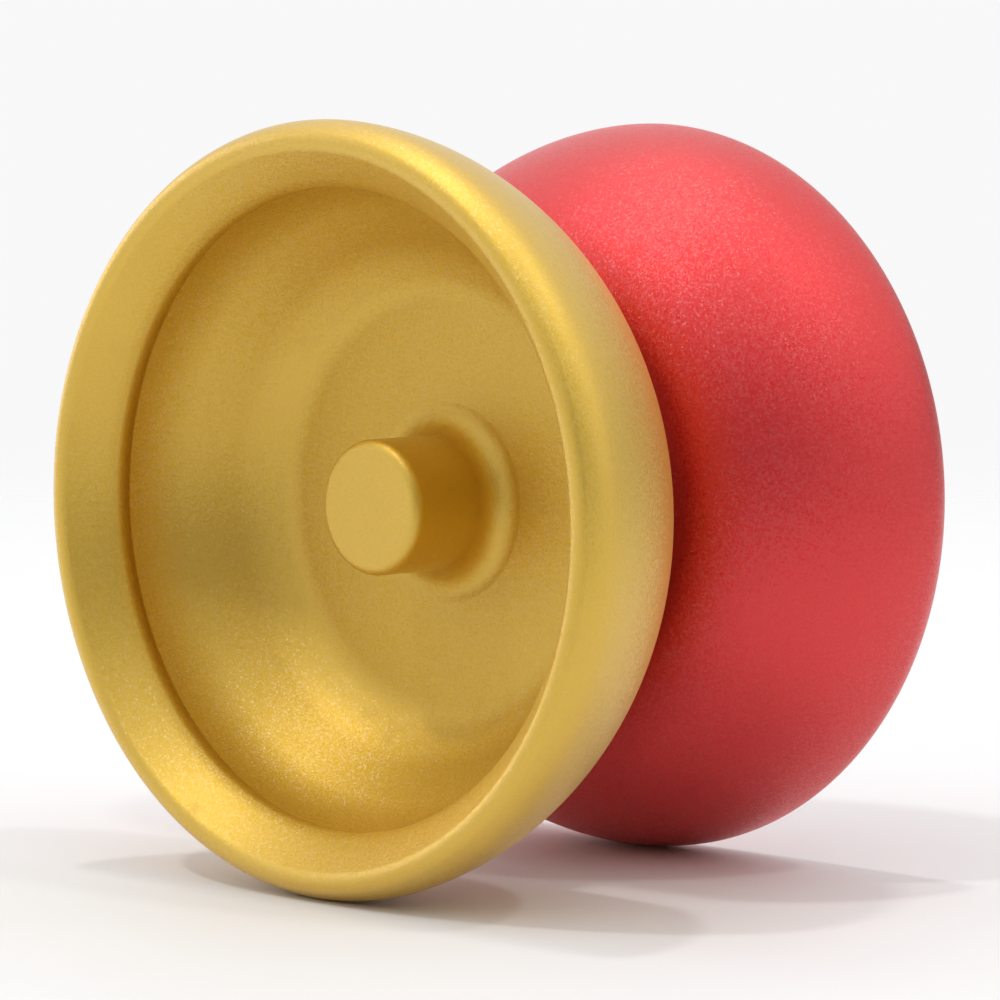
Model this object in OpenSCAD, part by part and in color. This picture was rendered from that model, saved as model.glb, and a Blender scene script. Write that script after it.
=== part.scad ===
// Two-piece aluminium yo-yo with a ball bearing, silicone response pads and an M4 axle.
// Millimetres. The origin is the centre of the bearing, Y is the axle and Z is up.
// The gold half is on the -Y side and the red half on the +Y side.

/* [Body] */
// Outside diameter of each half
body_d = 52; // [51:0.1:52.4]
// Overall width, rim to rim
body_w = 37; // [36.8:0.1:37.6]
// Width of the string gap between the halves
gap_w = 4.2; // [4:0.1:5]
// Axial distance from the mid plane to the widest circle of a half
widest_y = 16.2; // [15.6:0.1:16.3]
// Radius at which the flat gap wall turns into the flared flank
flank_start_r = 15.2; // [12:0.1:17]
// Fullness of the flank towards its widest circle
flank_p = 1.68; // [1.4:0.02:2]
// Fullness of the flank towards the gap
flank_q = 1.76; // [1.4:0.02:2.4]

/* [Rim] */
// Radius of the outer rounding of the rim
rim_round_r = 3.1; // [2.8:0.05:3.2]
// Radius of the ridge at the top of the rim
ridge_round_r = 1; // [0.8:0.05:1.2]
// Slope of the bevel inside the rim, from the rim plane
bevel_angle = 47; // [46.6:0.1:48]
// Length of that bevel, down to the shoulder over the bowl's edge
bevel_l = 3.37; // [3.2:0.01:3.5]
// Radius of the bowl's overhanging edge
lip_round_r = 1; // [0.8:0.05:1]
// Length of the overhang behind that edge
undercut_l = 1.2; // [1:0.05:1.3]

/* [Cup] */
// Radius of the soft ring where the cup wall meets the floor
floor_ring_r = 14.7; // [14.5:0.1:15.5]
// Axial position of that ring
floor_ring_y = 5.05; // [4.9:0.05:5.2]
// Slope of the bowl where it leaves the floor
wall_foot_angle = 32; // [30:0.5:34]
// Slope of the bowl half way up
wall_angle = 50; // [48:0.5:51]
// Slope of the bowl under its edge
wall_top_angle = 75; // [72:0.5:77]
// Outer radius of the shallow dip round the hub
dip_r = 6.9; // [6.8:0.05:7.2]
// Axial position of the floor at the dip
dip_y = 4.6; // [4.5:0.05:5]
// Radius of the cove at the foot of the hub
hub_foot_r = 1.7; // [1.2:0.05:1.7]
// Diameter of the raised hub
hub_d = 9.2; // [8.6:0.1:9.6]
// Axial position of the hub's flat end
hub_y = 12.2; // [11:0.1:14]
// Rounding of the hub's edge
hub_round_r = 0.7; // [0.3:0.1:1.2]

/* [Bearing] */
// Bore of the bearing
bearing_bore = 6.35; // [6.35:0.05:6.4]
// Outside diameter of the bearing
bearing_d = 12.7; // [12.7:0.05:12.8]
// Width of the bearing
bearing_w = 4.76; // [4.76:0.01:4.8]
// Number of balls
ball_count = 8; // [8:1:8]
// Diameter of a ball
ball_d = 1.984; // [1.9:0.004:2]

/* [Axle and response] */
// Thread diameter of the axle
axle_d = 4; // [4:0.1:4]
// Length of the axle
axle_l = 10; // [8:0.5:12]
// Outside diameter of a response pad
pad_d = 19.2; // [18:0.1:19.6]
// Inside diameter of a response pad
pad_bore = 14.4; // [14.2:0.1:15]
// Thickness of a response pad
pad_t = 1.1; // [0.8:0.1:1.2]

/* [Hidden] */
$fn = 96;

gold_colour = [0.68, 0.50, 0.16];
red_colour = [0.72, 0.16, 0.17];
steel_colour = [0.72, 0.73, 0.75];
silicone_colour = [0.93, 0.92, 0.88];

degrees_per_step = 7;     // angle that one chord of a rounded corner turns through
flank_steps = 30;         // chords along the flank
running_clearance = 0.01; // between a ball and its raceway, and between seat and bore

seat_r = bearing_bore / 2 - running_clearance;
seat_end_y = 0.25;            // the two seats almost meet inside the bearing
seat_chamfer = 0.2;
shoulder_r = 3.95;            // ring on the half that clamps the inner race
recess_y = bearing_w / 2 + 0.22;
recess_r = bearing_d / 2 + 0.15;
thread_clearance = 0.02;
thread_hole_r = axle_d / 2 + thread_clearance;
thread_hole_y = 9;
thread_hole_cone = 1.2;       // drill point at the bottom of the hole
pad_groove_clearance = 0.02;
pad_recess = 0.1;             // the pad face sits this far below the gap wall
floor_ring_blend_r = 4;
dip_edge_r = 0.5;
dip_slope = 12;
bevel_turn = 5;               // the bevel steepens by this much, then the shoulder by more
bevel_round_r = 14;
shoulder_l = 0.97;
shoulder_turn = 10;
shoulder_round_r = 4;
lip_l = 0.97;
undercut_angle = 125;         // past 90 it runs outward behind the edge
undercut_round_r = 0.3;
wall_foot_w = 2.46;
wall_round_r = 9;

pitch_r = (bearing_bore + bearing_d) / 4;
inner_groove_r = pitch_r - ball_d / 2 - running_clearance;
outer_groove_r = pitch_r + ball_d / 2 + running_clearance;
raceway_r = ball_d * 0.52;    // section radius of both grooves
inner_shoulder_r = 4.05;
outer_shoulder_r = 5.47;
shield_seat_r = 5.78;
shield_seat_y = 1.7;
shield_t = 0.2;
shield_bore_r = 4.2;
ring_groove_r = 5.95;
ring_r = 5.9;
ring_inner_r = 5.4;
ring_t = 0.3;
ring_y = shield_seat_y + shield_t + 0.03;
ring_gap_angle = 24;
cage_inner_r = 4.2;
cage_outer_r = 5.3;
cage_back_y = 1.5;
cage_front_y = 0.8;
pocket_r = ball_d / 2 + 0.04;
pocket_mouth = 1.7;           // narrower than a ball, so the fingers hold it
race_edge = 0.2;

socket_af = 2;                // hex socket across flats
socket_depth = 2.2;
axle_chamfer = 0.4;

function unit(v) = v / norm(v);
function turned(v, angle) = [v[0] * cos(angle) - v[1] * sin(angle), v[0] * sin(angle) + v[1] * cos(angle)];

// The point reached from p by going towards the axle and down at an angle from the rim plane
function inward(p, angle, length) = p - length * [cos(angle), sin(angle)];

// The points that replace corner b, between a and c, with an arc of radius r
function rounded_corner(a, b, c, r) =
    let (u = unit(a - b), v = unit(c - b))
    let (half_angle = acos(u * v) / 2)
    let (centre = b + unit(u + v) * r / sin(half_angle))
    let (from = b + u * r / tan(half_angle) - centre)
    let (side = sign(u[1] * v[0] - u[0] * v[1]), sweep = 180 - 2 * half_angle)
    let (steps = ceil(sweep / degrees_per_step))
    [for (i = [0 : steps]) centre + turned(from, side * sweep * i / steps)];

// An open outline of [x, y, rounding] corners, each rounding 0 or an arc's radius
function rounded_outline(corners) =
    let (p = [for (c = corners) [c[0], c[1]]], last = len(corners) - 1)
    [for (i = [0 : last])
        each (i == 0 || i == last || corners[i][2] == 0)
            ? [p[i]]
            : rounded_corner(p[i - 1], p[i], p[i + 1], corners[i][2])];

// The flared flank from the gap wall out to the widest circle, as [radius, distance from mid plane]
function flank_point(t) =
    [flank_start_r + (body_d / 2 - flank_start_r) * pow(1 - pow(1 - t, flank_p), 1 / flank_q),
     gap_w / 2 + (widest_y - gap_w / 2) * t];
flank = [for (i = [0 : flank_steps]) flank_point(pow(i / flank_steps, 1.3))];

// Gap side: drill point, thread, bearing seat, shoulder, recess and response groove
gap_side = [
    [0, thread_hole_y + thread_hole_cone],
    [thread_hole_r, thread_hole_y],
    [thread_hole_r, seat_end_y],
    [seat_r - seat_chamfer, seat_end_y],
    [seat_r, seat_end_y + seat_chamfer],
    [seat_r, bearing_w / 2],
    [shoulder_r, bearing_w / 2],
    [shoulder_r, recess_y],
    [recess_r, recess_y],
    [recess_r, gap_w / 2],
    [pad_bore / 2 - pad_groove_clearance, gap_w / 2],
    [pad_bore / 2 - pad_groove_clearance, gap_w / 2 + pad_recess + pad_t],
    [pad_d / 2 + pad_groove_clearance, gap_w / 2 + pad_recess + pad_t],
    [pad_d / 2 + pad_groove_clearance, gap_w / 2],
];

// Cup side: rim, bevel, shoulder, lip, undercut, bowl, dip and hub. The corner points are where the
// tangents of the arcs meet.
rim_turn = 34;
rim_corner = [body_d / 2, widest_y + (rim_round_r + 0.02) * tan(rim_turn / 2)];
ridge_centre_y = body_w / 2 - ridge_round_r;
ridge_centre_r = (rim_corner[0] * cos(rim_turn) + (rim_corner[1] - ridge_centre_y) * sin(rim_turn)
                  - ridge_round_r) / cos(rim_turn);
ridge_half_turn = (90 + bevel_angle - rim_turn) / 2;
ridge_corner = [ridge_centre_r, ridge_centre_y]
               + turned([ridge_round_r / cos(ridge_half_turn), 0], rim_turn + ridge_half_turn);
shoulder_angle = bevel_angle + bevel_turn;
bevel_corner = inward(ridge_corner, bevel_angle, bevel_l);
shoulder_corner = inward(bevel_corner, shoulder_angle, shoulder_l);
lip_corner = inward(shoulder_corner, shoulder_angle + shoulder_turn, lip_l);
undercut_corner = inward(lip_corner, undercut_angle, undercut_l);
wall_foot = [floor_ring_r + wall_foot_w, floor_ring_y + wall_foot_w * tan(wall_foot_angle)];
wall_corner_r = (undercut_corner[0] * tan(wall_top_angle) - undercut_corner[1]
                 + wall_foot[1] - wall_foot[0] * tan(wall_angle))
                / (tan(wall_top_angle) - tan(wall_angle));
wall_corner = [wall_corner_r, wall_foot[1] + (wall_corner_r - wall_foot[0]) * tan(wall_angle)];
hub_foot_y = dip_y - (dip_r - hub_d / 2) * tan(dip_slope);
cup_side = rounded_outline([
    [body_d / 2, widest_y, 0],
    [rim_corner[0], rim_corner[1], rim_round_r],
    [ridge_corner[0], ridge_corner[1], ridge_round_r],
    [bevel_corner[0], bevel_corner[1], bevel_round_r],
    [shoulder_corner[0], shoulder_corner[1], shoulder_round_r],
    [lip_corner[0], lip_corner[1], lip_round_r],
    [undercut_corner[0], undercut_corner[1], undercut_round_r],
    [wall_corner[0], wall_corner[1], wall_round_r],
    [wall_foot[0], wall_foot[1], wall_round_r],
    [floor_ring_r, floor_ring_y, floor_ring_blend_r],
    [dip_r, dip_y, dip_edge_r],
    [hub_d / 2, hub_foot_y, hub_foot_r],
    [hub_d / 2, hub_y, hub_round_r],
    [0, hub_y, 0],
]);

// Puts what is drawn round +Z onto the gold (-1) or the red (+1) side of the axle
module on_side(side) {
    rotate([-90 * side, 0, 0])
        children();
}

module half() {
    rotate_extrude()
        polygon(concat(gap_side, flank, cup_side));
}

module response_pad() {
    translate([0, 0, gap_w / 2 + pad_recess])
        difference() {
            cylinder(d = pad_d, h = pad_t);
            translate([0, 0, -1])
                cylinder(d = pad_bore, h = pad_t + 2);
        }
}

module gold_half() {
    color(gold_colour) on_side(-1) half();
}

module red_half() {
    color(red_colour) on_side(1) half();
}

module gold_response_pad() {
    color(silicone_colour) on_side(-1) response_pad();
}

module red_response_pad() {
    color(silicone_colour) on_side(1) response_pad();
}

module hex_socket() {
    linear_extrude(height = socket_depth + 1)
        circle(d = socket_af / cos(30), $fn = 6);
}

// Set screw; its thread is drawn at its outside diameter
module axle() {
    color(steel_colour)
        rotate([90, 0, 0])
            difference() {
                rotate_extrude()
                    polygon([
                        [0, -axle_l / 2],
                        [axle_d / 2 - axle_chamfer, -axle_l / 2],
                        [axle_d / 2, -axle_l / 2 + axle_chamfer],
                        [axle_d / 2, axle_l / 2 - axle_chamfer],
                        [axle_d / 2 - axle_chamfer, axle_l / 2],
                        [0, axle_l / 2],
                    ]);
                translate([0, 0, axle_l / 2 - socket_depth])
                    hex_socket();
                mirror([0, 0, 1])
                    translate([0, 0, axle_l / 2 - socket_depth])
                        hex_socket();
            }
}

// The torus that a ball runs in, its section centred so that it just clears the ball
module raceway(section_centre_r) {
    rotate_extrude()
        translate([section_centre_r, 0])
            circle(r = raceway_r);
}

module inner_race() {
    color(steel_colour)
        rotate([90, 0, 0])
            difference() {
                rotate_extrude()
                    polygon([
                        [bearing_bore / 2, -bearing_w / 2 + race_edge],
                        [bearing_bore / 2 + race_edge, -bearing_w / 2],
                        [inner_shoulder_r, -bearing_w / 2],
                        [inner_shoulder_r, bearing_w / 2],
                        [bearing_bore / 2 + race_edge, bearing_w / 2],
                        [bearing_bore / 2, bearing_w / 2 - race_edge],
                    ]);
                raceway(inner_groove_r + raceway_r);
            }
}

// Half of the outer race's section, from the mid plane to one face, with the shield's seat
// and the snap ring's groove
outer_race_side = [
    [outer_shoulder_r, shield_seat_y],
    [shield_seat_r, shield_seat_y],
    [shield_seat_r, ring_y - 0.02],
    [ring_groove_r, ring_y - 0.02],
    [ring_groove_r, ring_y + ring_t + 0.02],
    [shield_seat_r, ring_y + ring_t + 0.02],
    [shield_seat_r, bearing_w / 2],
    [bearing_d / 2 - race_edge, bearing_w / 2],
    [bearing_d / 2, bearing_w / 2 - race_edge],
];
other_side = [for (i = [len(outer_race_side) - 1 : -1 : 0]) [outer_race_side[i][0], -outer_race_side[i][1]]];

module outer_race() {
    color(steel_colour)
        rotate([90, 0, 0])
            difference() {
                rotate_extrude()
                    polygon(concat(outer_race_side, other_side));
                raceway(outer_groove_r - raceway_r);
            }
}

module shield(side) {
    color(steel_colour)
        on_side(side)
            translate([0, 0, shield_seat_y])
                difference() {
                    cylinder(r = shield_seat_r - 0.02, h = shield_t);
                    translate([0, 0, -1])
                        cylinder(r = shield_bore_r, h = shield_t + 2);
                }
}

module front_shield() {
    shield(-1);
}

module rear_shield() {
    shield(1);
}

// Open wire ring that snaps in behind a shield
module snap_ring(side) {
    color(steel_colour)
        on_side(side)
            translate([0, 0, ring_y])
                rotate([0, 0, 90 + ring_gap_angle / 2])
                    rotate_extrude(angle = 360 - ring_gap_angle)
                        translate([ring_inner_r, 0])
                            square([ring_r - ring_inner_r, ring_t]);
}

module front_snap_ring() {
    snap_ring(-1);
}

module rear_snap_ring() {
    snap_ring(1);
}

function ball_angle(i) = 360 * (i - 1) / ball_count;

// Crown cage: a ring with a round pocket for each ball, open to one side
module ball_cage() {
    color(steel_colour)
        on_side(1)
            difference() {
                translate([0, 0, -cage_back_y])
                    cylinder(r = cage_outer_r, h = cage_back_y + cage_front_y);
                translate([0, 0, -cage_back_y - 1])
                    cylinder(r = cage_inner_r, h = cage_back_y + cage_front_y + 2);
                for (i = [1 : ball_count])
                    rotate([0, 0, ball_angle(i)])
                        translate([pitch_r, 0, 0]) {
                            sphere(r = pocket_r);
                            translate([-2, -pocket_mouth / 2, 0])
                                cube([4, pocket_mouth, cage_front_y + 1]);
                        }
            }
}

module ball(i) {
    color(steel_colour)
        on_side(1)
            rotate([0, 0, ball_angle(i)])
                translate([pitch_r, 0, 0])
                    sphere(d = ball_d);
}

gold_half();
red_half();
gold_response_pad();
red_response_pad();
axle();
inner_race();
outer_race();
front_shield();
rear_shield();
front_snap_ring();
rear_snap_ring();
ball_cage();
for (i = [1 : ball_count])
    ball(i);
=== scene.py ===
"""A two-piece anodised aluminium yo-yo, gold half in front and red half behind, standing on its rims.

Lengths of the object are in millimetres here and become metres where the mesh is made. A half's outline
is given as [radius, distance from the mid plane]; Y is the axle.
"""
import math

import bmesh
import bpy
from mathutils import Matrix, Vector


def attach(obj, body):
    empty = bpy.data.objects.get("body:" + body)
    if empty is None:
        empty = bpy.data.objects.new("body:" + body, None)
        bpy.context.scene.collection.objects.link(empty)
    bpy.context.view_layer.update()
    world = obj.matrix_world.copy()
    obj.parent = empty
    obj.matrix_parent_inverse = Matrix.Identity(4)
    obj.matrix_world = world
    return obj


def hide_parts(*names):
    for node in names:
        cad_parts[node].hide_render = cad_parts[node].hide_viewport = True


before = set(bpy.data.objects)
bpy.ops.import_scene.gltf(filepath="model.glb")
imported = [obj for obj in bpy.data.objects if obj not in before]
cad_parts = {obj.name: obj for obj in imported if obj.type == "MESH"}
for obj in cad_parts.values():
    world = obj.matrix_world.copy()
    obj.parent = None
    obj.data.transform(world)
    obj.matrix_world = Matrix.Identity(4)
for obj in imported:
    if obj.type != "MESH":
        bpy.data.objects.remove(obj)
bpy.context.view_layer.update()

MM = 0.001

# ---------------------------------------------------------------- driving sizes, as in the part
# Angles, turns and slopes are in degrees.
BODY_D = 52.0
BODY_W = 37.0
GAP_W = 4.2
WIDEST_Y = 16.2
FLANK_START_R = 15.2
FLANK_P = 1.68
FLANK_Q = 1.76

RIM_ROUND_R = 3.1
RIM_TURN = 34.0
RIM_SPARE = 0.02                # keeps the rim's arc clear of the end of the flank
RIDGE_ROUND_R = 1.0
BEVEL_ANGLE = 47.0
BEVEL_L = 3.37
BEVEL_TURN = 5.0
BEVEL_ROUND_R = 14.0
SHOULDER_L = 0.97
SHOULDER_TURN = 10.0
SHOULDER_ROUND_R = 4.0
LIP_L = 0.97
LIP_ROUND_R = 1.0
UNDERCUT_L = 1.2
UNDERCUT_ANGLE = 125.0
UNDERCUT_ROUND_R = 0.3

WALL_TOP_ANGLE = 75.0
WALL_ANGLE = 50.0
WALL_FOOT_W = 2.46
WALL_FOOT_ANGLE = 32.0
WALL_ROUND_R = 9.0
FLOOR_RING_R = 14.7
FLOOR_RING_Y = 5.05
FLOOR_RING_BLEND_R = 4.0
DIP_R = 6.9
DIP_Y = 4.6
DIP_SLOPE = 12.0
DIP_EDGE_R = 0.5
HUB_FOOT_R = 1.7
HUB_R = 4.6
HUB_Y = 12.2
HUB_ROUND_R = 0.7

BEARING_BORE_R = 3.175
BEARING_W = 4.76
SEAT_CLEARANCE = 0.01
SEAT_END_Y = 0.25
BEARING_SHOULDER_R = 3.95
RECESS_R = 6.5
RECESS_Y = 2.6
THREAD_R = 2.02
THREAD_HOLE_Y = 9.0
THREAD_HOLE_CONE = 1.2
EDGE_ROUND_R = 0.12

PAD_INNER_R = 7.2
PAD_OUTER_R = 9.6
PAD_T = 1.1
PAD_RECESS = 0.1
PAD_CLEARANCE = 0.02
PAD_FACE_ROUND_R = 0.3
PAD_BACK_ROUND_R = 0.15

AXLE_R = 2.0
AXLE_L = 10.0
THREAD_PITCH = 0.7
THREAD_DEPTH = 0.43
# Points of (share of a pitch, height)
THREAD_FORM = ((0.06, 0), (0.44, THREAD_DEPTH), (0.56, THREAD_DEPTH), (0.94, 0))
THREAD_MARGIN = 0.2             # plain length at each end of the screw
THREAD_LIFT = 0.005             # keeps the thread's feet off the core
THREAD_FADE = 2                 # the thread rises to its full height in half a turn
SOCKET_AF = 2.0
SOCKET_DEPTH = 2.2
SOCKET_CONE = 0.5
SOCKET_CHAMFER = 0.08
AXLE_CHAMFER = 0.05

# ---------------------------------------------------------------- fineness of the meshes
LATHE_STEPS = 288
SCREW_STEPS = 72
FLANK_STEPS = 72
FLANK_CROWDING = 1.3            # above 1 puts more of the flank's rings near the gap
VISIBLE_ARC_STEP = 3.0          # degrees an arc turns between two rings
SMALL_ARC_STEP = 15
LATHE_SHARP_ANGLE = 32
SCREW_SHARP_ANGLE = 25


# ---------------------------------------------------------------- outlines
def turned(v, angle):
    c, s = math.cos(angle), math.sin(angle)
    return Vector((v.x * c - v.y * s, v.x * s + v.y * c))


def rounded_corner(a, b, c, radius, step):
    """The points that replace corner b, between a and c, with an arc."""
    u, v = (a - b).normalized(), (c - b).normalized()
    half = math.acos(max(-1.0, min(1.0, u.dot(v)))) / 2
    centre = b + (u + v).normalized() * radius / math.sin(half)
    start = b + u * radius / math.tan(half) - centre
    side = 1 if u.y * v.x - u.x * v.y > 0 else -1
    sweep = math.pi - 2 * half
    steps = max(2, math.ceil(sweep / math.radians(step)))
    return [centre + turned(start, side * sweep * i / steps) for i in range(steps + 1)]


def rounded_outline(corners, step=VISIBLE_ARC_STEP):
    """An open outline of (x, y, rounding) corners, each rounding 0 or the radius of an arc."""
    points = [Vector(c[:2]) for c in corners]
    out = [points[0]]
    for i in range(1, len(corners) - 1):
        radius = corners[i][2]
        if radius:
            out += rounded_corner(points[i - 1], points[i], points[i + 1], radius, step)
        else:
            out.append(points[i])
    return out + [points[-1]]


def flank_outline():
    """The flared flank, from the flat gap wall out to the widest circle."""
    points = []
    for i in range(FLANK_STEPS + 1):
        t = (i / FLANK_STEPS) ** FLANK_CROWDING
        rise = (1 - (1 - t) ** FLANK_P) ** (1 / FLANK_Q)
        points.append(Vector((FLANK_START_R + (BODY_D / 2 - FLANK_START_R) * rise,
                              GAP_W / 2 + (WIDEST_Y - GAP_W / 2) * t)))
    return points


def gap_side_outline():
    """Drill point, thread, bearing seat, shoulder, recess and response groove."""
    seat_r = BEARING_BORE_R - SEAT_CLEARANCE
    groove_in, groove_out = PAD_INNER_R - PAD_CLEARANCE, PAD_OUTER_R + PAD_CLEARANCE
    groove_y = GAP_W / 2 + PAD_RECESS + PAD_T
    return rounded_outline([
        (0, THREAD_HOLE_Y + THREAD_HOLE_CONE, 0),
        (THREAD_R, THREAD_HOLE_Y, 0),
        (THREAD_R, SEAT_END_Y, EDGE_ROUND_R),
        (seat_r, SEAT_END_Y, EDGE_ROUND_R),
        (seat_r, BEARING_W / 2, 0),
        (BEARING_SHOULDER_R, BEARING_W / 2, 0),
        (BEARING_SHOULDER_R, RECESS_Y, 0),
        (RECESS_R, RECESS_Y, 0),
        (RECESS_R, GAP_W / 2, EDGE_ROUND_R),
        (groove_in, GAP_W / 2, EDGE_ROUND_R),
        (groove_in, groove_y, 0),
        (groove_out, groove_y, 0),
        (groove_out, GAP_W / 2, EDGE_ROUND_R),
        (FLANK_START_R, GAP_W / 2, 0),
    ], step=SMALL_ARC_STEP)[:-1]


def inward(p, angle, length):
    """The point reached from p by going towards the axle and down, at an angle from the rim plane."""
    return p - Vector((math.cos(math.radians(angle)), math.sin(math.radians(angle)))) * length


def cup_side_outline():
    """Rim, ridge, bevel, shoulder, lip, undercut, bowl, dip and hub."""
    rim_r = BODY_D / 2
    turn = math.radians(RIM_TURN)
    rim = Vector((rim_r, WIDEST_Y + (RIM_ROUND_R + RIM_SPARE) * math.tan(turn / 2)))
    centre_y = BODY_W / 2 - RIDGE_ROUND_R
    centre_r = (rim.x * math.cos(turn) + (rim.y - centre_y) * math.sin(turn) - RIDGE_ROUND_R) / math.cos(turn)
    half_turn = (math.pi / 2 + math.radians(BEVEL_ANGLE) - turn) / 2
    ridge_reach = Vector((RIDGE_ROUND_R / math.cos(half_turn), 0))
    ridge = Vector((centre_r, centre_y)) + turned(ridge_reach, turn + half_turn)
    bevel = inward(ridge, BEVEL_ANGLE, BEVEL_L)
    shoulder = inward(bevel, BEVEL_ANGLE + BEVEL_TURN, SHOULDER_L)
    lip = inward(shoulder, BEVEL_ANGLE + BEVEL_TURN + SHOULDER_TURN, LIP_L)
    undercut = inward(lip, UNDERCUT_ANGLE, UNDERCUT_L)
    foot_rise = WALL_FOOT_W * math.tan(math.radians(WALL_FOOT_ANGLE))
    foot = Vector((FLOOR_RING_R + WALL_FOOT_W, FLOOR_RING_Y + foot_rise))
    steep, slope = math.tan(math.radians(WALL_TOP_ANGLE)), math.tan(math.radians(WALL_ANGLE))
    wall_r = (undercut.x * steep - undercut.y + foot.y - foot.x * slope) / (steep - slope)
    wall_y = foot.y + (wall_r - foot.x) * slope
    hub_foot_y = DIP_Y - (DIP_R - HUB_R) * math.tan(math.radians(DIP_SLOPE))
    return rounded_outline([
        (rim_r, WIDEST_Y, 0),
        (*rim, RIM_ROUND_R),
        (*ridge, RIDGE_ROUND_R),
        (*bevel, BEVEL_ROUND_R),
        (*shoulder, SHOULDER_ROUND_R),
        (*lip, LIP_ROUND_R),
        (*undercut, UNDERCUT_ROUND_R),
        (wall_r, wall_y, WALL_ROUND_R),
        (*foot, WALL_ROUND_R),
        (FLOOR_RING_R, FLOOR_RING_Y, FLOOR_RING_BLEND_R),
        (DIP_R, DIP_Y, DIP_EDGE_R),
        (HUB_R, hub_foot_y, HUB_FOOT_R),
        (HUB_R, HUB_Y, HUB_ROUND_R),
        (0, HUB_Y, 0),
    ])[1:]


def half_outline():
    return gap_side_outline() + flank_outline() + cup_side_outline()


def pad_outline():
    """A closed section with its front edges rounded more than its back edges."""
    near = GAP_W / 2 + PAD_RECESS
    far = near + PAD_T
    middle = (PAD_INNER_R + PAD_OUTER_R) / 2
    return rounded_outline([
        (middle, far, 0),
        (PAD_INNER_R, far, PAD_BACK_ROUND_R),
        (PAD_INNER_R, near, PAD_FACE_ROUND_R),
        (PAD_OUTER_R, near, PAD_FACE_ROUND_R),
        (PAD_OUTER_R, far, PAD_BACK_ROUND_R),
        (middle, far, 0),
    ], step=SMALL_ARC_STEP)[:-1]


# ---------------------------------------------------------------- meshes
def ring(radius, y, steps):
    """A circle round the axle; a radius of 0 gives its centre alone."""
    if radius < 1e-6:
        return [(0, y * MM, 0)]
    turns = [2 * math.pi * k / steps for k in range(steps)]
    return [(radius * MM * math.cos(t), y * MM, radius * MM * math.sin(t)) for t in turns]


def hexagon(across, y, steps):
    """A hexagon round the axle, with its points at the same angles as a ring's."""
    points = []
    for k in range(steps):
        t = 2 * math.pi * k / steps
        off = (t + math.pi / 6) % (math.pi / 3) - math.pi / 6
        reach = across / 2 / math.cos(off) * MM
        points.append((reach * math.cos(t), y * MM, reach * math.sin(t)))
    return points


def add_loops(bm, loops, closed=False, wrap=True):
    """Joins successive loops of points with faces. A loop of one point closes the surface there."""
    verts = [[bm.verts.new(p) for p in loop] for loop in loops]
    pairs = list(zip(verts, verts[1:])) + ([(verts[-1], verts[0])] if closed else [])
    for one, two in pairs:
        count = max(len(one), len(two))
        for k in range(count if wrap else count - 1):
            n = (k + 1) % count
            if len(one) == 1:
                bm.faces.new((one[0], two[k], two[n]))
            elif len(two) == 1:
                bm.faces.new((one[k], two[0], one[n]))
            else:
                bm.faces.new((one[k], two[k], two[n], one[n]))


def finished(name, bm, sharp):
    """The object made from a bmesh, smooth but for edges sharper than an angle."""
    mesh = bpy.data.meshes.new(name)
    bmesh.ops.recalc_face_normals(bm, faces=bm.faces)
    bm.to_mesh(mesh)
    bm.free()
    mesh.shade_smooth()
    mesh.set_sharp_from_angle(angle=math.radians(sharp))
    obj = bpy.data.objects.new(name, mesh)
    bpy.context.scene.collection.objects.link(obj)
    return obj


def lathe(name, outline, side, closed=False):
    """Revolves an outline of [radius, distance along the axle] round the Y axis. side -1 mirrors it."""
    bm = bmesh.new()
    add_loops(bm, [ring(p[0], side * p[1], LATHE_STEPS) for p in outline], closed)
    return finished(name, bm, LATHE_SHARP_ANGLE)


def set_screw(name):
    """A headless screw with a helical thread and a hex socket in each end."""
    bm = bmesh.new()
    steps = SCREW_STEPS
    half, root = AXLE_L / 2, AXLE_R - THREAD_DEPTH
    loops = [
        ring(0, SOCKET_CONE - half + SOCKET_DEPTH, steps),
        hexagon(SOCKET_AF, SOCKET_DEPTH - half, steps),
        hexagon(SOCKET_AF, SOCKET_CHAMFER - half, steps),
        hexagon(SOCKET_AF + 2 * SOCKET_CHAMFER, -half, steps),
        ring(root - AXLE_CHAMFER, -half, steps),
        ring(root, AXLE_CHAMFER - half, steps),
    ]
    add_loops(bm, loops + [[(x, -y, z) for x, y, z in loop] for loop in reversed(loops)])
    turns = (AXLE_L - 2 * THREAD_MARGIN) / THREAD_PITCH - 1
    count = int(turns * steps)
    strip = []
    for i in range(count + 1):
        t = 2 * math.pi * i / steps
        fade = min(1, i / steps * THREAD_FADE, (count - i) / steps * THREAD_FADE)
        start = THREAD_MARGIN - half + THREAD_PITCH * i / steps
        section = []
        for share, height in THREAD_FORM:
            radius = (root + THREAD_LIFT + height * fade) * MM
            section.append((radius * math.cos(t), (start + THREAD_PITCH * share) * MM, radius * math.sin(t)))
        strip.append(section)
    add_loops(bm, strip, wrap=False)
    return finished(name, bm, SCREW_SHARP_ANGLE)


# ---------------------------------------------------------------- materials
def new_material(name):
    mat = bpy.data.materials.new(name)
    mat.use_nodes = True
    nodes = mat.node_tree.nodes
    return mat, nodes, mat.node_tree.links, nodes["Principled BSDF"]


def noise(nodes, links, coords, scale, detail):
    node = nodes.new("ShaderNodeTexNoise")
    node.inputs["Scale"].default_value = scale
    node.inputs["Detail"].default_value = detail
    links.new(coords, node.inputs["Vector"])
    return node.outputs["Fac"]


def remap(nodes, links, value, low, high, start=0.0, end=1.0, kind="LINEAR"):
    """low where the value is start, high where it is end."""
    node = nodes.new("ShaderNodeMapRange")
    node.interpolation_type = kind
    node.inputs["From Min"].default_value = start
    node.inputs["From Max"].default_value = end
    node.inputs["To Min"].default_value = low
    node.inputs["To Max"].default_value = high
    links.new(value, node.inputs["Value"])
    return node.outputs["Result"]


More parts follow.
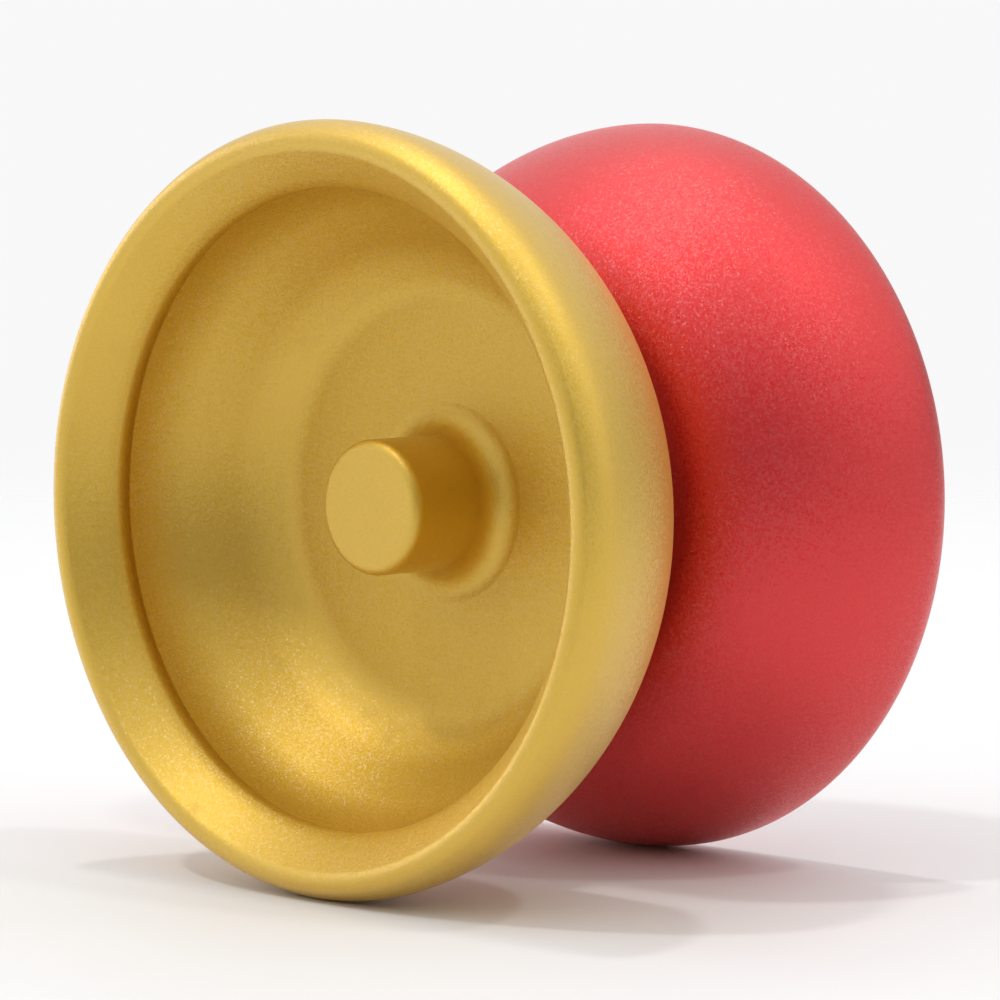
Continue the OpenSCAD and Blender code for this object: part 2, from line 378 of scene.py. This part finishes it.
def arithmetic(nodes, links, operation, one, two):
    node = nodes.new("ShaderNodeMath")
    node.operation = operation
    for socket, value in zip(node.inputs, (one, two)):
        if isinstance(value, (int, float)):
            socket.default_value = value
        else:
            links.new(value, socket)
    return node.outputs["Value"]


def mixed(nodes, links, factor, one, two):
    node = nodes.new("ShaderNodeMix")
    node.data_type = "RGBA"
    node.inputs["A"].default_value = (*one, 1)
    node.inputs["B"].default_value = (*two, 1)
    links.new(factor, node.inputs["Factor"])
    return node.outputs["Result"]


def bumped(nodes, links, height, strength, distance):
    node = nodes.new("ShaderNodeBump")
    node.inputs["Strength"].default_value = strength
    node.inputs["Distance"].default_value = distance * MM
    links.new(height, node.inputs["Height"])
    return node.outputs["Normal"]


def flaked(nodes, links, coords, scale, amount):
    """A normal that leans a little, each small cell its own way, so that single grains glint."""
    cells = nodes.new("ShaderNodeTexVoronoi")
    cells.inputs["Scale"].default_value = scale
    links.new(coords, cells.inputs["Vector"])
    lean = nodes.new("ShaderNodeVectorMath")
    lean.operation = "MULTIPLY_ADD"
    lean.inputs[1].default_value = (amount, amount, amount)
    lean.inputs[2].default_value = (-amount / 2, -amount / 2, -amount / 2)
    links.new(cells.outputs["Color"], lean.inputs[0])
    total = nodes.new("ShaderNodeVectorMath")
    links.new(nodes.new("ShaderNodeNewGeometry").outputs["Normal"], total.inputs[0])
    links.new(lean.outputs["Vector"], total.inputs[1])
    unit = nodes.new("ShaderNodeVectorMath")
    unit.operation = "NORMALIZE"
    links.new(total.outputs["Vector"], unit.inputs[0])
    return unit.outputs["Vector"]


def anodised(name, light, dark, coat):
    """Bead-blasted, dyed aluminium under a clear, hard oxide: matt metal grain with fine glints."""
    mat, nodes, links, shader = new_material(name)
    coords = nodes.new("ShaderNodeTexCoord").outputs["Object"]
    cloud = noise(nodes, links, coords, scale=110, detail=3)
    grain = noise(nodes, links, coords, scale=6000, detail=2)
    wear = noise(nodes, links, coords, scale=420, detail=6)
    scuff = remap(nodes, links, wear, low=0, high=0.06, start=0.62, end=0.75)
    tint = arithmetic(nodes, links, "ADD", remap(nodes, links, cloud, low=0.2, high=0.8),
                      remap(nodes, links, grain, low=-0.9, high=0.9))
    links.new(mixed(nodes, links, tint, dark, light), shader.inputs["Base Color"])
    matt = remap(nodes, links, grain, low=0.47, high=0.59)
    links.new(arithmetic(nodes, links, "ADD", matt, scuff), shader.inputs["Roughness"])
    links.new(bumped(nodes, links, grain, strength=0.45, distance=0.02), shader.inputs["Normal"])
    links.new(flaked(nodes, links, coords, scale=9000, amount=0.42), shader.inputs["Coat Normal"])
    shader.inputs["Metallic"].default_value = 1.0
    shader.inputs["Coat Weight"].default_value = coat
    shader.inputs["Coat Roughness"].default_value = 0.38
    shader.inputs["Coat IOR"].default_value = 1.65
    return mat


def steel(name, light, dark, roughness):
    """Turned or ground steel, with fine grooves round the axle, faint stains and small scratches."""
    mat, nodes, links, shader = new_material(name)
    coords = nodes.new("ShaderNodeTexCoord").outputs["Object"]
    parts = nodes.new("ShaderNodeSeparateXYZ")
    links.new(coords, parts.inputs["Vector"])
    x, y, z = parts.outputs
    squares = [arithmetic(nodes, links, "MULTIPLY", v, v) for v in (x, z)]
    radius = arithmetic(nodes, links, "SQRT", arithmetic(nodes, links, "ADD", *squares), 0)
    place = nodes.new("ShaderNodeCombineXYZ")
    links.new(radius, place.inputs["X"])
    links.new(y, place.inputs["Y"])
    grooves = noise(nodes, links, place.outputs["Vector"], scale=9000, detail=3)
    stain = noise(nodes, links, coords, scale=500, detail=4)
    wear = noise(nodes, links, coords, scale=2500, detail=5)
    scratch = remap(nodes, links, wear, low=0, high=0.1, start=0.6, end=0.72)
    links.new(mixed(nodes, links, stain, dark, light), shader.inputs["Base Color"])
    ground = remap(nodes, links, grooves, low=roughness - 0.06, high=roughness + 0.06)
    links.new(arithmetic(nodes, links, "ADD", ground, scratch), shader.inputs["Roughness"])
    links.new(bumped(nodes, links, grooves, strength=0.2, distance=0.01), shader.inputs["Normal"])
    shader.inputs["Metallic"].default_value = 1.0
    return mat


def rubber(name, light, dark):
    """Milky silicone with a faint bloom, small pores and a dull, uneven sheen."""
    mat, nodes, links, shader = new_material(name)
    coords = nodes.new("ShaderNodeTexCoord").outputs["Object"]
    cloud = noise(nodes, links, coords, scale=600, detail=4)
    pores = noise(nodes, links, coords, scale=7000, detail=2)
    links.new(mixed(nodes, links, cloud, dark, light), shader.inputs["Base Color"])
    links.new(remap(nodes, links, cloud, low=0.38, high=0.6), shader.inputs["Roughness"])
    links.new(bumped(nodes, links, pores, strength=0.3, distance=0.015), shader.inputs["Normal"])
    shader.inputs["Subsurface Weight"].default_value = 0.3
    shader.inputs["Subsurface Scale"].default_value = 0.001
    shader.inputs["Sheen Weight"].default_value = 0.15
    shader.inputs["Coat Weight"].default_value = 0.1
    return mat


gold_finish = anodised("gold_finish", light=(0.75, 0.485, 0.034), dark=(0.67, 0.43, 0.029), coat=1.0)
red_finish = anodised("red_finish", light=(0.75, 0.017, 0.019), dark=(0.64, 0.013, 0.015), coat=0.85)
axle_finish = steel("axle_finish", light=(0.62, 0.61, 0.59), dark=(0.50, 0.49, 0.47), roughness=0.3)
bearing_finish = steel("bearing_finish", light=(0.68, 0.68, 0.67), dark=(0.60, 0.60, 0.59), roughness=0.16)
shield_finish = steel("shield_finish", light=(0.66, 0.66, 0.65), dark=(0.56, 0.56, 0.55), roughness=0.26)
cage_finish = steel("cage_finish", light=(0.60, 0.59, 0.57), dark=(0.50, 0.49, 0.47), roughness=0.32)
pad_finish = rubber("pad_finish", light=(0.86, 0.85, 0.80), dark=(0.78, 0.76, 0.69))


# ---------------------------------------------------------------- pieces
def replacing(obj, body, nodes, finish):
    """Puts a finish on an object and lets it ride on a body in place of CAD nodes."""
    obj.data.materials.append(finish)
    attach(obj, body)
    for node in nodes:
        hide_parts(node)


for colour, side, finish in (("gold", -1, gold_finish), ("red", 1, red_finish)):
    replacing(lathe(f"{colour}_half_shell", half_outline(), side), f"{colour}_side",
              [f"{colour}_half"], finish)
    replacing(lathe(f"{colour}_pad_ring", pad_outline(), side, closed=True), f"{colour}_side",
              [f"{colour}_response_pad"], pad_finish)

replacing(set_screw("axle_screw"), "gold_side", ["axle"], axle_finish)

balls = [f"ball_{i}" for i in range(1, 9)]
KEPT_NODES = (
    (["inner_race", "outer_race", "front_snap_ring", "rear_snap_ring", *balls], bearing_finish),
    (["front_shield", "rear_shield"], shield_finish),
    (["ball_cage"], cage_finish),
)
for names, finish in KEPT_NODES:
    for name in names:
        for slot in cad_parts[name].material_slots:
            slot.material = finish

# ---------------------------------------------------------------- camera
VIEW_AZIMUTH = math.radians(43.34)
VIEW_DOWN = math.radians(4.38)
VIEW_DISTANCE = 294.0
VIEW_RIGHT = 0.489
VIEW_UP = -0.135
LENS = 152.77
SENSOR_W = 36
NEAREST = 0.01                  # metres
FARTHEST = 20                   # metres

forward = Vector((-math.sin(VIEW_AZIMUTH) * math.cos(VIEW_DOWN),
                  math.cos(VIEW_AZIMUTH) * math.cos(VIEW_DOWN), -math.sin(VIEW_DOWN)))
right = Vector((math.cos(VIEW_AZIMUTH), math.sin(VIEW_AZIMUTH), 0))
up = right.cross(forward)
camera_data = bpy.data.cameras.new("camera")
camera_data.lens = LENS
camera_data.sensor_width = SENSOR_W
camera_data.clip_start = NEAREST
camera_data.clip_end = FARTHEST
camera = bpy.data.objects.new("camera", camera_data)
bpy.context.scene.collection.objects.link(camera)
place = (right * VIEW_RIGHT + up * VIEW_UP - forward * VIEW_DISTANCE) * MM
camera.matrix_world = Matrix.Translation(place) @ Matrix((right, up, -forward)).transposed().to_4x4()
bpy.context.scene.camera = camera

# ---------------------------------------------------------------- floor
FLOOR_REACH = 3.0               # metres from the middle to each side
FLOOR_WHITE = 0.81
FLOOR_MOTTLE = 0.01
FLOOR_FADE = (0.08, 0.5)        # metres from the object at which the floor starts and ends to fade out

corners = [(x * FLOOR_REACH, y * FLOOR_REACH, -BODY_D / 2 * MM)
           for x, y in ((-1, -1), (1, -1), (1, 1), (-1, 1))]
floor_mesh = bpy.data.meshes.new("floor")
floor_mesh.from_pydata(corners, [], [(0, 1, 2, 3)])
floor = bpy.data.objects.new("floor", floor_mesh)
bpy.context.scene.collection.objects.link(floor)
floor_mat, nodes, links, shader = new_material("floor_white")
coords = nodes.new("ShaderNodeTexCoord").outputs["Object"]
paper = noise(nodes, links, coords, scale=60, detail=3)
links.new(mixed(nodes, links, paper, [FLOOR_WHITE - FLOOR_MOTTLE] * 3, [FLOOR_WHITE + FLOOR_MOTTLE] * 3),
          shader.inputs["Base Color"])
shader.inputs["Roughness"].default_value = 0.6
shader.inputs["Specular IOR Level"].default_value = 0.2
reach = nodes.new("ShaderNodeVectorMath")
reach.operation = "LENGTH"
links.new(coords, reach.inputs[0])
links.new(remap(nodes, links, reach.outputs["Value"], 1, 0, *FLOOR_FADE, "SMOOTHSTEP"),
          shader.inputs["Alpha"])
floor_mesh.materials.append(floor_mat)

# ---------------------------------------------------------------- room
# A white backdrop behind and below, a bright ceiling, soft glows at the left, the front left and the right,
# and a dark side at the front right. Heights are the Z of a unit direction. A glow or shade is a direction,
# the cosines of its edge and core, and its strength.
BACKDROP = 0.94
HORIZON = 0.27
CEILING = 0.94
CEILING_HEIGHT = 0.55
GLOWS = (
    ((-0.97, -0.15, 0.15), 0.92, 0.99, 2.0),
    ((-0.57, -0.82, 0.2), 0.9, 0.98, 0.4),
    ((0.82, 0.42, 0.38), 0.93, 0.99, 0.6),
)
SHADE = ((0.71, -0.70, 0.07), 0.80, 0.96, 1.0)
BACKDROP_SPREAD = (0.88, 0.97)
BACKDROP_FADE = (0.2, 0.5)
BELOW_HORIZON = (-0.02, 0.0)
ROOM_TINT = (1, 1, 1.01, 1)

world = bpy.data.worlds.new("world")
bpy.context.scene.world = world
world.use_nodes = True
nodes, links = world.node_tree.nodes, world.node_tree.links
sky = nodes.new("ShaderNodeTexCoord").outputs["Generated"]
parts = nodes.new("ShaderNodeSeparateXYZ")
links.new(sky, parts.inputs["Vector"])


def glow(direction, edge, core, strength):
    """Rises from 0 to strength between two cosines of the angle from a direction."""
    dot = nodes.new("ShaderNodeVectorMath")
    dot.operation = "DOT_PRODUCT"
    dot.inputs[1].default_value = Vector(direction).normalized()
    links.new(sky, dot.inputs[0])
    return remap(nodes, links, dot.outputs["Value"], 0, strength, edge, core, "SMOOTHSTEP")


level = remap(nodes, links, parts.outputs["Z"], HORIZON, CEILING, 0.0, CEILING_HEIGHT, "SMOOTHSTEP")
for one in GLOWS:
    level = arithmetic(nodes, links, "ADD", level, glow(*one))
level = arithmetic(nodes, links, "MULTIPLY", level, arithmetic(nodes, links, "SUBTRACT", 1, glow(*SHADE)))
behind = glow((forward.x, forward.y, 0), *BACKDROP_SPREAD, 1)
low = remap(nodes, links, parts.outputs["Z"], 1, 0, *BACKDROP_FADE, "SMOOTHSTEP")
under = remap(nodes, links, parts.outputs["Z"], 1, 0, *BELOW_HORIZON)
plain = arithmetic(nodes, links, "MAXIMUM", arithmetic(nodes, links, "MULTIPLY", behind, low), under)
light = nodes.new("ShaderNodeMix")
links.new(plain, light.inputs["Factor"])
links.new(level, light.inputs["A"])
light.inputs["B"].default_value = BACKDROP
links.new(light.outputs["Result"], nodes["Background"].inputs["Strength"])
nodes["Background"].inputs["Color"].default_value = ROOM_TINT

LAMP_SPREAD = 4                 # degrees
LAMPS = (
    ("lamp_high", (-0.17, -0.44, 0.88), 0.5),
    ("lamp_top", (-0.12, 0.03, 0.99), 0.45),
    ("lamp_right", (0.49, 0.13, 0.86), 0.3),
)
for name, direction, strength in LAMPS:
    lamp = bpy.data.lights.new(name, "SUN")
    lamp.energy = strength
    lamp.angle = math.radians(LAMP_SPREAD)
    holder = bpy.data.objects.new(name, lamp)
    holder.rotation_euler = Vector(direction).to_track_quat("Z", "Y").to_euler()
    bpy.context.scene.collection.objects.link(holder)
bpy.context.scene.view_settings.view_transform = "Standard"
